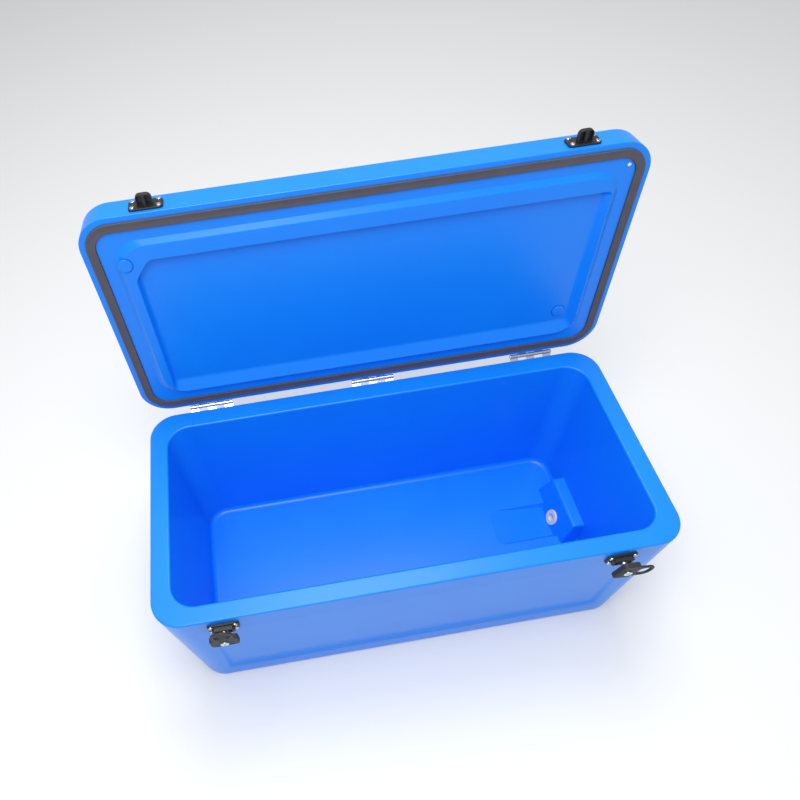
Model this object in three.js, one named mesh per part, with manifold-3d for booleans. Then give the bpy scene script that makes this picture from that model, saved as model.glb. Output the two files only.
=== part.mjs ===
// Foam-insulated moulded icebox, lid open. Millimetres, +Z up.
// X runs along the long side (right), -Y is the front, the hinges are at +Y.
// The origin is the centre of the flat base that the box stands on.
import * as THREE from 'three';
import { mergeVertices, toCreasedNormals } from 'three/addons/utils/BufferGeometryUtils.js';
import Module from 'manifold-3d';

const wasm = await Module();
wasm.setup();

// ---- driving dimensions ----
const LENGTH = 1000;
const DEPTH = 480;
const BODY_HEIGHT = 386;
const BODY_CORNER = 58;
const BODY_DRAFT = 0.053;
const BASE_EDGE = 10;
const RIM_EDGE = 4;
const SKIN = 5;
const FIT = 0.3;

const TUB_HALF_X = 462;
const TUB_HALF_Y = 202;
const TUB_CENTRE_Y = -2.5;
const TUB_CORNER = 46;
const TUB_DRAFT = 0.0744;
const TUB_FLOOR = 49;
const TUB_FILLET = 12;
const TUB_LIP = 1.2;

const SUMP_X0 = 250;
const SUMP_HALF_Y = 46;
const SUMP_FLOOR = 37;
const SUMP_SIDE_SLOPE = 8;
const SUMP_FRONT_SLOPE = 12;

const BOSS_FOOT_X = 394;
const BOSS_SLOPE = 0.344;
const BOSS_TOP = 110;
const BOSS_CENTRE_Y = 9.5;
const BOSS_HALF_Y = 78;
const BOSS_END_SLOPE = 0.19;
const BOSS_CORNER = 4;

const DRAIN_Z = 57;
const DRAIN_TUBE_R = 12;
const DRAIN_BORE_R = 9;
const DRAIN_FLANGE_R = 18.5;
const DRAIN_FLANGE_THICK = 3.2;
const SOCKET_R = 24;
const SOCKET_THICK = 7;
const BUNG_R = 19;
const BUNG_CAP = 9;
const BUNG_STEM = 22;
const BUNG_WING_HALF_T = 3;
const BUNG_WING_TOP = 19;

const FILL_X = 300;
const FILL_FLANGE_R = 20;
const FILL_FLANGE_DEPTH = 2.6;
const FILL_PORT_R = 13;
const FILL_PORT_DEPTH = 12;

const PANEL_HALF_X = 402;
const PANEL_Z0 = 68;
const PANEL_Z1 = 324;
const PANEL_DEPTH = 5;
const PANEL_CORNER = 28;
const PANEL_EDGE = 24;
const PANEL_REACH = 10;

const GRIP_HALF_Y = 64;
const GRIP_Z0 = 262;
const GRIP_Z1 = 310;
const GRIP_DEPTH = 21;
const GRIP_END_SLOPE = 8;
const GRIP_SILL_SLOPE = 10;
const GRIP_TOP_SLOPE = 2;

const LID_HALF_X = 502;
const LID_HALF_Y = 242;
const LID_CORNER = 60;
const LID_Z0 = 390;
const LID_THICK = 56;
const LID_EDGE = 8;
const LID_DRAFT = 0.04;
const LID_SKIN = 4.5;
const LID_OPEN = 93.04;

const SEAL_INSET = 11;
const SEAL_WIDTH = 17;
const SEAL_DROP = 3.7;
const GROOVE_DEPTH = 2;

const PLATEAU_X = 452;
const PLATEAU_Y0 = -194.3;
const PLATEAU_Y1 = 196;
const PLATEAU_FLANK = 10.3;
const PLATEAU_DROP = 8;
const PLATEAU_CORNER = 44;

const RECESS_X0 = -425;
const RECESS_X1 = 440;
const RECESS_Y0 = -155;
const RECESS_Y1 = 184.5;
const RECESS_CHAMFER_X = 28;
const RECESS_CHAMFER_Y = 40;
const RECESS_DEPTH = 12;
const RECESS_CORNER = 7;
const RECESS_SLOPE_LEFT = 6;
const RECESS_SLOPE_RIGHT = 15;
const RECESS_SLOPE_FRONT = 5;
const RECESS_SLOPE_BACK = 26;

const LEFT_PLUG_X = -435;
const LEFT_PLUG_Y = -150.5;
const RIGHT_PLUG_X = 403;
const RIGHT_PLUG_Y = 130.5;
const PLUG_R = 13.4;
const PLUG_HEIGHT = 2.6;
const PLUG_STEM_R = 10.6;
const VENT_X = 460;
const VENT_Y = -199;
const VENT_R = 3.4;
const VENT_STEM_R = 2.3;

const HINGE_Y = 248;
const HINGE_Z = 389.8;
const HINGE_X = 362;
const HINGE_LENGTH = 94;
const KNUCKLE_R = 4.6;
const PIN_R = 2.3;
const LEAF_THICK = 2;
const BODY_LEAF_TOP = 380;
const BODY_LEAF_HEIGHT = 40;
const LID_LEAF_LOW = 395;
const LID_LEAF_HEIGHT = 34;
const KNUCKLE_COUNT = 5;
const LEAF_SCREW_X = 30;
const BODY_LEAF_SCREW_Z = 354;
const LID_LEAF_SCREW_Z = 417;

const LATCH_X = 374;
const LATCH_Z = 354;
const PLATE_W = 58;
const PLATE_H = 29;
const PLATE_T = 4;
const SCREW_DX = 22;
const SCREW_DZ = 9.6;
const SCREW_HOLE_R = 2.5;
const SCREW_HEAD_R = 4.2;
const SCREW_HEAD_H = 2.6;
const HOUSING_HALF_W = 21;
const HOUSING_HALF_H = 9.5;
const HOUSING_OUT = 12;
const CELL_INNER = 8.5;
const CELL_OUTER = 16;
const CELL_HALF_H = 6;
const CELL_FLOOR = 5;
const POST_R = 6.5;
const POST_SPIGOT_R = 4;
const POST_HEAD_R = 8;
const POST_HEAD_H = 3;
const STRAP_INNER = 21.5;
const STRAP_OUTER = 31.5;
const STRAP_PIVOT_R = 5;
const STRAP_BLOCK_HALF_W = 26;
const STRAP_BLOCK_HALF_L = 18;
const LOOP_INNER = 27;
const LOOP_HALF_W = 20;
const LOOP_TIP = 53;
const LOOP_CORNER = 17;
const SLOT_HALF_W = 14;
const SLOT_START = 21;
const SLOT_END = 47;
const SLOT_CORNER = 11;
const RIGHT_STRAP_TURN = 102;
const KEEPER_Z = 411;
const HOOD_HEIGHT = 25.5;
const HOOD_HALF_W = 13.5;
const HOOD_CORNER = 8.5;
const HOOD_LOW = -9;
const HOOD_HIGH = -1;
const POCKET_INNER = 3;
const POCKET_OUTER = 11.3;
const POCKET_BACK = 2;
const HOOD_WALL = 2.5;

const BLUE = '#1f7ef0';
const FOAM = '#e9dfc4';
const NYLON = '#1b1c1e';
const RUBBER = '#26272a';
const SEAL_GREY = '#4b4b52';
const STEEL = '#d7dade';
const WHITE = '#e8e9e6';

// ---- solids ----
const up = new THREE.Vector3(0, 0, 1);

function solid(geometry) {
  const bare = geometry.index ? geometry.toNonIndexed() : geometry.clone();
  bare.deleteAttribute('normal');
  bare.deleteAttribute('uv');
  const merged = mergeVertices(bare, 1e-4);
  const mesh = new wasm.Mesh({
    numProp: 3,
    vertProperties: new Float32Array(merged.attributes.position.array),
    triVerts: new Uint32Array(merged.index.array),
  });
  return new wasm.Manifold(mesh);
}

function shape(body) {
  const mesh = body.getMesh();
  const geometry = new THREE.BufferGeometry();
  geometry.setAttribute('position', new THREE.BufferAttribute(new Float32Array(mesh.vertProperties), 3));
  geometry.setIndex(new THREE.BufferAttribute(new Uint32Array(mesh.triVerts), 1));
  return toCreasedNormals(geometry, 0.5);
}

// A convex outline, counter-clockwise, with every corner rounded.
function roundedOutline(corners, radius, steps) {
  const points = [];
  const count = corners.length;
  for (let i = 0; i < count; i += 1) {
    const here = new THREE.Vector2(...corners[i]);
    const before = new THREE.Vector2(...corners[(i + count - 1) % count]).sub(here).normalize();
    const after = new THREE.Vector2(...corners[(i + 1) % count]).sub(here).normalize();
    const half = Math.acos(THREE.MathUtils.clamp(before.dot(after), -1, 1)) / 2;
    const bisector = before.clone().add(after).normalize();
    const centre = here.clone().addScaledVector(bisector, radius / Math.sin(half));
    const first = here.clone().addScaledVector(before, radius / Math.tan(half)).sub(centre);
    const sweep = Math.PI - 2 * half;
    for (let k = 0; k <= steps; k += 1) {
      points.push(first.clone().rotateAround(new THREE.Vector2(), (sweep * k) / steps).add(centre));
    }
  }
  return points;
}

function rectangle(x0, x1, y0, y1) {
  return [[x0, y0], [x1, y0], [x1, y1], [x0, y1]];
}

// Joins outlines of equal count, stacked upwards, into one closed body.
function loft(levels) {
  const count = levels[0].outline.length;
  const positions = [];
  const faces = [];
  for (const level of levels) {
    for (const point of level.outline) {
      positions.push(point.x, point.y, level.z);
    }
  }
  for (let layer = 0; layer + 1 < levels.length; layer += 1) {
    for (let i = 0; i < count; i += 1) {
      const a = layer * count + i;
      const b = layer * count + ((i + 1) % count);
      faces.push(a, b, b + count, a, b + count, a + count);
    }
  }
  const top = (levels.length - 1) * count;
  for (let i = 1; i + 1 < count; i += 1) {
    faces.push(0, i + 1, i);
    faces.push(top, top + i, top + i + 1);
  }
  const geometry = new THREE.BufferGeometry();
  geometry.setAttribute('position', new THREE.Float32BufferAttribute(positions, 3));
  geometry.setIndex(faces);
  return solid(geometry);
}

function block(x0, x1, y0, y1, z0, z1) {
  const geometry = new THREE.BoxGeometry(x1 - x0, y1 - y0, z1 - z0);
  geometry.translate((x0 + x1) / 2, (y0 + y1) / 2, (z0 + z1) / 2);
  return solid(geometry);
}

function placed(body, matrix) {
  const geometry = shape(body);
  geometry.applyMatrix4(matrix);
  return solid(geometry);
}

function moved(x, y, z) {
  return new THREE.Matrix4().makeTranslation(x, y, z);
}

// A plain round bar from one point to another.
function bar(from, to, radius, sides) {
  const a = new THREE.Vector3(...from);
  const b = new THREE.Vector3(...to);
  const direction = b.clone().sub(a);
  const geometry = new THREE.CylinderGeometry(radius, radius, direction.length(), sides);
  geometry.rotateX(Math.PI / 2);
  const turn = new THREE.Quaternion().setFromUnitVectors(up, direction.clone().normalize());
  geometry.applyQuaternion(turn);
  geometry.translate((a.x + b.x) / 2, (a.y + b.y) / 2, (a.z + b.z) / 2);
  return solid(geometry);
}

// A turned body: radius and height pairs, closed on its axis (+Z).
function turned(profile, sides) {
  const points = profile.map(([r, z]) => new THREE.Vector2(r, z));
  const geometry = new THREE.LatheGeometry(points, sides);
  geometry.rotateX(Math.PI / 2);
  return solid(geometry);
}

// A flat outline in X and Z with thickness along Y, from y0 (front) to y1.
function slab(outline, y0, y1) {
  const flat = loft([{ z: -y1, outline }, { z: -y0, outline }]);
  return placed(flat, new THREE.Matrix4().makeRotationX(Math.PI / 2));
}

const model = new THREE.Group();
model.name = 'icebox';

function add(name, body, colour, roughness, metalness, matrix) {
  const geometry = shape(body);
  if (matrix) {
    geometry.applyMatrix4(matrix);
  }
  const material = new THREE.MeshStandardMaterial({ color: colour, roughness, metalness });
  const mesh = new THREE.Mesh(geometry, material);
  mesh.name = name;
  model.add(mesh);
}

// ---- body: one moulded double wall, tapered, with the tub sunk into it ----
function bodyOutline(inset, z) {
  const taper = BODY_DRAFT * (BODY_HEIGHT - z);
  const x = LENGTH / 2 - taper - inset;
  const y = DEPTH / 2 - taper - inset;
  return roundedOutline(rectangle(-x, x, -y, y), BODY_CORNER - inset - taper * 0.4, 7);
}

function outerBody(inset) {
  const levels = [];
  const edge = Math.max(BASE_EDGE - inset, 2);
  for (let k = 0; k <= 3; k += 1) {
    const angle = (Math.PI / 2) * (k / 3);
    const z = inset + edge * (1 - Math.cos(angle));
    levels.push({ z, outline: bodyOutline(inset + edge * (1 - Math.sin(angle)), z) });
  }
  const top = BODY_HEIGHT - inset;
  const lip = Math.max(RIM_EDGE - inset, 1);
  for (let k = 0; k <= 2; k += 1) {
    const angle = (Math.PI / 2) * (k / 2);
    const z = top - lip * (1 - Math.sin(angle));
    levels.push({ z, outline: bodyOutline(inset + lip * (1 - Math.cos(angle)), z) });
  }
  return loft(levels);
}

function tubOutline(grow, z, extra) {
  const taper = TUB_DRAFT * (BODY_HEIGHT - z);
  const x = TUB_HALF_X - taper + grow - extra;
  const y = TUB_HALF_Y - taper + grow - extra;
  const corners = rectangle(-x, x, TUB_CENTRE_Y - y, TUB_CENTRE_Y + y);
  return roundedOutline(corners, Math.max(TUB_CORNER + grow - extra, 8), 7);
}

function tubSpace(grow) {
  const levels = [];
  const fillet = TUB_FILLET + grow;
  const floor = TUB_FLOOR - grow;
  for (let k = 0; k <= 4; k += 1) {
    const angle = (Math.PI / 2) * (k / 4);
    const z = floor + fillet * (1 - Math.cos(angle));
    levels.push({ z, outline: tubOutline(grow, z, fillet * (1 - Math.sin(angle))) });
  }
  levels.push({ z: BODY_HEIGHT - RIM_EDGE, outline: tubOutline(grow, BODY_HEIGHT - RIM_EDGE, 0) });
  levels.push({ z: BODY_HEIGHT - TUB_LIP, outline: tubOutline(grow, BODY_HEIGHT, -TUB_LIP) });
  levels.push({ z: BODY_HEIGHT, outline: tubOutline(grow, BODY_HEIGHT, -RIM_EDGE) });
  levels.push({ z: BODY_HEIGHT + 20, outline: tubOutline(grow, BODY_HEIGHT, -RIM_EDGE) });
  return loft(levels);
}

function sumpSpace(grow) {
  const x1 = BOSS_FOOT_X + 30;
  const low = SUMP_HALF_Y - SUMP_SIDE_SLOPE + grow;
  const high = SUMP_HALF_Y + grow;
  const floorCorners = rectangle(SUMP_X0 + SUMP_FRONT_SLOPE - grow, x1, -low, low);
  const topCorners = rectangle(SUMP_X0 - grow, x1, -high, high);
  const trough = loft([
    { z: SUMP_FLOOR - grow, outline: roundedOutline(floorCorners, 10, 3) },
    { z: TUB_FLOOR + 1, outline: roundedOutline(topCorners, 14, 3) },
  ]);
  const fall = Math.atan((TUB_FLOOR - SUMP_FLOOR) / (BOSS_FOOT_X - SUMP_X0));
  const aboveRamp = placed(block(-60, 300, -100, 100, -grow, 60),
    moved(SUMP_X0, 0, TUB_FLOOR).multiply(new THREE.Matrix4().makeRotationY(fall)));
  return trough.intersect(aboveRamp);
}

function drainBoss(inset) {
  const z0 = SUMP_FLOOR - 6;
  const z1 = BOSS_TOP - inset;
  const level = (z) => {
    const x0 = BOSS_FOOT_X + BOSS_SLOPE * (z - TUB_FLOOR) + inset;
    const y = BOSS_HALF_Y - BOSS_END_SLOPE * (z - TUB_FLOOR) - inset;
    const corners = rectangle(x0, LENGTH / 2 - 30, BOSS_CENTRE_Y - y, BOSS_CENTRE_Y + y);
    return roundedOutline(corners, BOSS_CORNER, 2);
  };
  return loft([
    { z: z0, outline: level(z0) },
    { z: z1, outline: level(z1) },
  ]);
}

function tubAndSump(grow) {
  return tubSpace(grow).add(sumpSpace(grow)).subtract(drainBoss(grow));
}

// The panel's foot is its deepest part; it runs out to nothing at the top.
function frontPanel(grow) {
  const corners = rectangle(-PANEL_HALF_X - grow, PANEL_HALF_X + grow, PANEL_Z0 - grow, PANEL_Z1 + grow);
  const inner = roundedOutline(corners, PANEL_CORNER, 5);
  const reach = grow + PANEL_EDGE;
  const wide = rectangle(-PANEL_HALF_X - reach, PANEL_HALF_X + reach, PANEL_Z0 - reach, PANEL_Z1 + reach);
  const outer = roundedOutline(wide, PANEL_CORNER + PANEL_EDGE, 5);
  const cut = loft([{ z: -0.2 - grow, outline: inner }, { z: PANEL_REACH, outline: outer }]);
  const lean = Math.atan(BODY_DRAFT);
  const stand = new THREE.Matrix4().makeRotationX(Math.PI / 2 + lean);
  const tilt = new THREE.Matrix4().makeRotationX(Math.atan(PANEL_DEPTH / (PANEL_Z1 - PANEL_Z0)));
  const about = moved(0, PANEL_Z1, 0).multiply(tilt).multiply(moved(0, -PANEL_Z1, 0));
  return placed(cut, moved(0, -DEPTH / 2 + BODY_DRAFT * BODY_HEIGHT, 0).multiply(stand).multiply(about));
}

function gripSpace(side, grow) {
  const taper = BODY_DRAFT * (BODY_HEIGHT - (GRIP_Z0 + GRIP_Z1) / 2);
  const face = LENGTH / 2 - taper;
  const wide = rectangle(-GRIP_HALF_Y - grow, GRIP_HALF_Y + grow, GRIP_Z0 - grow, GRIP_Z1 + grow);
  const deep = rectangle(-GRIP_HALF_Y + GRIP_END_SLOPE - grow, GRIP_HALF_Y - GRIP_END_SLOPE + grow,
    GRIP_Z0 + GRIP_SILL_SLOPE - grow, GRIP_Z1 - GRIP_TOP_SLOPE + grow);
  const cut = loft([
    { z: -GRIP_DEPTH - grow, outline: roundedOutline(deep, 12, 3) },
    { z: 8, outline: roundedOutline(wide, 16, 3) },
  ]);
  const axes = new THREE.Matrix4().makeBasis(
    new THREE.Vector3(0, side, 0), new THREE.Vector3(0, 0, 1), new THREE.Vector3(side, 0, 0));
  return placed(cut, moved(side * face, 0, 0).multiply(axes));
}

function fillPort(x, radius, z1) {
  return bar([x, 0, -1], [x, 0, z1], radius, 20);
}

const socketFace = LENGTH / 2 - BODY_DRAFT * (BODY_HEIGHT - DRAIN_Z);
const drainHole = (radius) => bar([360, 0, DRAIN_Z], [LENGTH / 2 + 20, 0, DRAIN_Z], radius, 24);

// Screw places on the body: four per latch plate, two per hinge leaf.
const latchFrame = (side) => {
  const face = -DEPTH / 2 + BODY_DRAFT * (BODY_HEIGHT - LATCH_Z);
  const lean = new THREE.Matrix4().makeRotationX(Math.atan(BODY_DRAFT));
  return moved(side * LATCH_X, face, LATCH_Z).multiply(lean);
};
const leafFrame = (x) => {
  const face = DEPTH / 2 - BODY_DRAFT * (BODY_HEIGHT - BODY_LEAF_SCREW_Z);
  const lean = new THREE.Matrix4().makeRotationX(-Math.atan(BODY_DRAFT));
  return moved(x, face, BODY_LEAF_SCREW_Z).multiply(lean);
};
const plateScrews = [];
for (const dx of [-SCREW_DX, SCREW_DX]) {
  for (const dz of [-SCREW_DZ, SCREW_DZ]) {
    plateScrews.push([dx, dz]);
  }
}
const leafScrews = [-LEAF_SCREW_X, LEAF_SCREW_X];
const screwHole = (frame, dx, dz, facing) => {
  const hole = bar([dx, facing * 2, dz], [dx, facing * (0.2 - SKIN), dz], SCREW_HOLE_R - 0.2, 8);
  return placed(hole, frame);
};

let bodyShell = outerBody(0).subtract(tubAndSump(0)).subtract(frontPanel(0));
let cavity = outerBody(SKIN).subtract(tubAndSump(SKIN)).subtract(frontPanel(SKIN));
let foam = outerBody(SKIN + FIT).subtract(tubAndSump(SKIN + FIT)).subtract(frontPanel(SKIN + FIT));
for (const side of [-1, 1]) {
  bodyShell = bodyShell.subtract(gripSpace(side, 0));
  cavity = cavity.subtract(gripSpace(side, SKIN));
  foam = foam.subtract(gripSpace(side, SKIN + FIT));
}
bodyShell = bodyShell.subtract(cavity).subtract(drainHole(DRAIN_TUBE_R + FIT));
foam = foam.subtract(drainHole(DRAIN_TUBE_R + 2 * FIT));
for (const x of [-FILL_X, FILL_X]) {
  bodyShell = bodyShell.subtract(fillPort(x, FILL_FLANGE_R, FILL_FLANGE_DEPTH));
  bodyShell = bodyShell.subtract(fillPort(x, FILL_PORT_R, SKIN + 3));
  foam = foam.subtract(fillPort(x, FILL_PORT_R + 1, FILL_PORT_DEPTH + 4));
}
for (const side of [-1, 1]) {
  for (const [dx, dz] of plateScrews) {
    bodyShell = bodyShell.subtract(screwHole(latchFrame(side), dx, dz, -1));
  }
}
for (const x of [-HINGE_X, 0, HINGE_X]) {
  for (const dx of leafScrews) {
    bodyShell = bodyShell.subtract(screwHole(leafFrame(x), dx, 0, 1));
  }
}
add('body_shell', bodyShell, BLUE, 0.35, 0);
add('body_foam', foam, FOAM, 0.9, 0);

// Press-in plugs that close the ports the foam was poured through.
['left', 'right'].forEach((name, index) => {
  const x = index === 0 ? -FILL_X : FILL_X;
  const seat = FILL_FLANGE_DEPTH - FIT;
  const plug = turned([
    [0, FIT], [FILL_FLANGE_R - 2 * FIT, FIT], [FILL_FLANGE_R - 2 * FIT, seat],
    [FILL_PORT_R - FIT, seat], [FILL_PORT_R - FIT, FILL_PORT_DEPTH], [0, FILL_PORT_DEPTH],
  ], 20);
  add(`body_fill_plug_${name}`, plug, BLUE, 0.4, 0, moved(x, 0, 0));
});

// ---- drain: a flanged tube through the end wall, a socket and a bung ----
const bossLean = Math.atan(BOSS_SLOPE);
const faceX = BOSS_FOOT_X + BOSS_SLOPE * (DRAIN_Z - TUB_FLOOR);
const flangeSlab = placed(block(-DRAIN_FLANGE_THICK, -FIT, -40, 40, -40, 40),
  moved(faceX, 0, DRAIN_Z).multiply(new THREE.Matrix4().makeRotationY(bossLean)));
const flange = bar([faceX - 20, 0, DRAIN_Z], [faceX + 20, 0, DRAIN_Z], DRAIN_FLANGE_R, 28).intersect(flangeSlab);
const tubeSolid = bar([faceX - 8, 0, DRAIN_Z], [socketFace + 5, 0, DRAIN_Z], DRAIN_TUBE_R, 24);
const tubeBore = bar([faceX - 30, 0, DRAIN_Z], [socketFace + 20, 0, DRAIN_Z], DRAIN_BORE_R, 24);
const bossFront = placed(block(-60, -1.5, -60, 60, -60, 60),
  moved(faceX, 0, DRAIN_Z).multiply(new THREE.Matrix4().makeRotationY(bossLean)));
const drainTube = flange.add(tubeSolid.subtract(bossFront)).subtract(tubeBore);
add('drain_tube', drainTube, WHITE, 0.45, 0);

const socketLean = new THREE.Matrix4().makeRotationY(Math.PI / 2 + Math.atan(BODY_DRAFT));
const outward = new THREE.Matrix4().makeRotationY(Math.PI / 2);
const socketBody = turned([
  [0, -2], [SOCKET_R, -2], [SOCKET_R, 4], [SOCKET_R - 3, SOCKET_THICK], [0, SOCKET_THICK],
], 28);
const skinPlane = placed(block(-80, 80, -80, 80, -40, 0.3), moved(socketFace, 0, DRAIN_Z).multiply(socketLean));
const socketBore = turned([[0, -10], [DRAIN_TUBE_R + FIT, -10], [DRAIN_TUBE_R + FIT, 30], [0, 30]], 24);
const atSocket = moved(socketFace, 0, DRAIN_Z).multiply(outward);
const drainSocket = placed(socketBody.subtract(socketBore), atSocket).subtract(skinPlane);
add('drain_socket', drainSocket, NYLON, 0.5, 0);

const bungBase = SOCKET_THICK + 0.4;
const bungCap = turned([
  [0, bungBase], [BUNG_R, bungBase], [BUNG_R, bungBase + BUNG_CAP - 2], [BUNG_R - 2, bungBase + BUNG_CAP],
  [0, bungBase + BUNG_CAP],
], 28);
const bungStem = turned([
  [0, -BUNG_STEM], [DRAIN_BORE_R - 1.3, -BUNG_STEM], [DRAIN_BORE_R - 0.4, 4 - BUNG_STEM],
  [DRAIN_BORE_R - 0.4, bungBase + 1], [0, bungBase + 1],
], 24);
const bungWing = block(-BUNG_WING_HALF_T, BUNG_WING_HALF_T, -BUNG_R + 3, BUNG_R - 3,
  bungBase + BUNG_CAP - 1, bungBase + BUNG_WING_TOP);
add('drain_bung', bungCap.add(bungStem).add(bungWing), NYLON, 0.5, 0, atSocket);

// ---- lid, drawn shut and then swung open about the hinge line ----
const openLid = moved(0, HINGE_Y, HINGE_Z)
  .multiply(new THREE.Matrix4().makeRotationX(-THREE.MathUtils.degToRad(LID_OPEN)))
  .multiply(moved(0, -HINGE_Y, -HINGE_Z));

function lidOutline(inset, z) {
  const taper = LID_DRAFT * (z - LID_Z0);
  const x = LID_HALF_X - taper - inset;
  const y = LID_HALF_Y - taper - inset;
  return roundedOutline(rectangle(-x, x, -y, y), LID_CORNER - inset * 0.9, 7);
}

function lidBlock(inset) {
  const z0 = LID_Z0 + inset;
  const z1 = LID_Z0 + LID_THICK - inset;
  const edge = LID_EDGE - inset;
  const levels = [{ z: z0, outline: lidOutline(inset + 1.5, z0) }];
  levels.push({ z: z0 + 1.5, outline: lidOutline(inset, z0 + 1.5) });
  for (let k = 0; k <= 4; k += 1) {
    const angle = (Math.PI / 2) * (k / 4);
    const z = z1 - edge * (1 - Math.sin(angle));
    levels.push({ z, outline: lidOutline(inset + edge * (1 - Math.cos(angle)), z) });
  }
  return loft(levels);
}

function plateau(inset) {
  const low = LID_Z0 - PLATEAU_DROP + inset;
  const outline = (out, z) => {
    const corners = rectangle(-PLATEAU_X + out, PLATEAU_X - out, PLATEAU_Y0 + out, PLATEAU_Y1 - out);
    return { z, outline: roundedOutline(corners, PLATEAU_CORNER - out, 6) };
  };
  return loft([
    outline(PLATEAU_FLANK + inset, low),
    outline(inset, LID_Z0 + inset * 0.4),
    outline(inset, LID_Z0 + inset + 1),
  ]);
}

function recess(grow) {
  const level = (left, right, front, back, z, out) => {
    const x0 = RECESS_X0 + left - out;
    const x1 = RECESS_X1 - right + out;
    const y0 = RECESS_Y0 + front - out;
    const y1 = RECESS_Y1 - back + out;
    const corners = [
      [x0 + RECESS_CHAMFER_X, y0], [x1, y0], [x1, y1], [x0, y1], [x0, y0 + RECESS_CHAMFER_Y],
    ];
    return { z, outline: roundedOutline(corners, RECESS_CORNER, 3) };
  };
  const z0 = LID_Z0 - PLATEAU_DROP;
  const z1 = z0 + RECESS_DEPTH;
  return loft([
    level(0, 0, 0, 0, z0 - 5, grow),
    level(0, 0, 0, 0, z0, grow),
    level(RECESS_SLOPE_LEFT, RECESS_SLOPE_RIGHT, RECESS_SLOPE_FRONT, RECESS_SLOPE_BACK, z1 + grow, grow),
  ]);
}

function sealRing(inset, z0, z1) {
  const x = LID_HALF_X - SEAL_INSET - inset;
  const y = LID_HALF_Y - SEAL_INSET - inset;
  const width = SEAL_WIDTH - 2 * inset;
  const outer = roundedOutline(rectangle(-x, x, -y, y), LID_CORNER - SEAL_INSET - inset, 7);
  const inner = roundedOutline(
    rectangle(-x + width, x - width, -y + width, y - width), LID_CORNER - SEAL_INSET - width, 7);
  const outside = loft([{ z: z0, outline: outer }, { z: z1, outline: outer }]);
  const inside = loft([{ z: z0 - 1, outline: inner }, { z: z1 + 1, outline: inner }]);
  return outside.subtract(inside);
}

const lidPlugs = [
  { name: 'left', x: LEFT_PLUG_X, y: LEFT_PLUG_Y, z: LID_Z0 - PLATEAU_DROP },
  { name: 'right', x: RIGHT_PLUG_X, y: RIGHT_PLUG_Y, z: LID_Z0 - PLATEAU_DROP + RECESS_DEPTH },
];

const keeperFrame = (side) => {
  const face = -LID_HALF_Y + LID_DRAFT * (KEEPER_Z - LID_Z0);
  const lean = new THREE.Matrix4().makeRotationX(-Math.atan(LID_DRAFT));
  return moved(side * LATCH_X, face, KEEPER_Z).multiply(lean);
};
const lidLeafFrame = (x) => {
  const face = LID_HALF_Y - LID_DRAFT * (LID_LEAF_SCREW_Z - LID_Z0);
  const lean = new THREE.Matrix4().makeRotationX(Math.atan(LID_DRAFT));
  return moved(x, face, LID_LEAF_SCREW_Z).multiply(lean);
};

let lidShell = lidBlock(0).add(plateau(0)).subtract(recess(0));
lidShell = lidShell.subtract(sealRing(0, LID_Z0 - 2, LID_Z0 + GROOVE_DEPTH));
const lidCavity = lidBlock(LID_SKIN).add(plateau(LID_SKIN)).subtract(recess(LID_SKIN));
const foamInset = LID_SKIN + FIT;
let lidFoam = lidBlock(foamInset).add(plateau(foamInset)).subtract(recess(foamInset));
lidShell = lidShell.subtract(lidCavity);
for (const plug of lidPlugs) {
  const hole = (radius, z1) => bar([plug.x, plug.y, plug.z - 3], [plug.x, plug.y, z1], radius, 18);
  lidShell = lidShell.subtract(hole(PLUG_STEM_R + 0.4, plug.z + 12));
  lidFoam = lidFoam.subtract(hole(PLUG_STEM_R + 1.4, plug.z + 14));
}
const ventHole = bar([VENT_X, VENT_Y, LID_Z0 - 2], [VENT_X, VENT_Y, LID_Z0 + 3], VENT_STEM_R + FIT, 10);
lidShell = lidShell.subtract(ventHole);
for (const side of [-1, 1]) {
  for (const [dx, dz] of plateScrews) {
    lidShell = lidShell.subtract(screwHole(keeperFrame(side), dx, dz, -1));
  }
}
for (const x of [-HINGE_X, 0, HINGE_X]) {
  for (const dx of leafScrews) {
    lidShell = lidShell.subtract(screwHole(lidLeafFrame(x), dx, 0, 1));
  }
}
add('lid_shell', lidShell, BLUE, 0.35, 0, openLid);
add('lid_foam', lidFoam, FOAM, 0.9, 0, openLid);
for (const plug of lidPlugs) {
  const button = turned([
    [0, -PLUG_HEIGHT], [PLUG_R - 5.4, 0.2 - PLUG_HEIGHT], [PLUG_R - 1.2, 1 - PLUG_HEIGHT],
    [PLUG_R, -FIT], [PLUG_STEM_R, -FIT], [PLUG_STEM_R, 9], [0, 9],
  ], 20);
  add(`lid_fill_plug_${plug.name}`, button, BLUE, 0.4, 0,
    openLid.clone().multiply(moved(plug.x, plug.y, plug.z)));
}
const vent = turned([
  [0, -1.2], [VENT_R - 0.4, -0.9], [VENT_R, -FIT], [VENT_STEM_R, -FIT], [VENT_STEM_R, 2.6], [0, 2.6],
], 10);
add('lid_vent_plug', vent, WHITE, 0.4, 0, openLid.clone().multiply(moved(VENT_X, VENT_Y, LID_Z0)));
const seal = sealRing(0.3, LID_Z0 - SEAL_DROP, LID_Z0 + GROOVE_DEPTH - 0.2);
add('lid_seal', seal, SEAL_GREY, 0.8, 0, openLid);

// ---- hinges: three stainless butt hinges on the back faces ----
function screw(length) {
  return turned([
    [0, -length], [2, -length], [2, 0], [SCREW_HEAD_R, 0], [SCREW_HEAD_R, 1.2],
    [SCREW_HEAD_R - 1.6, SCREW_HEAD_H - 0.2], [0, SCREW_HEAD_H],
  ], 10);
}
const facingFront = new THREE.Matrix4().makeRotationX(Math.PI / 2);
const facingBack = new THREE.Matrix4().makeRotationX(-Math.PI / 2);

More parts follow.
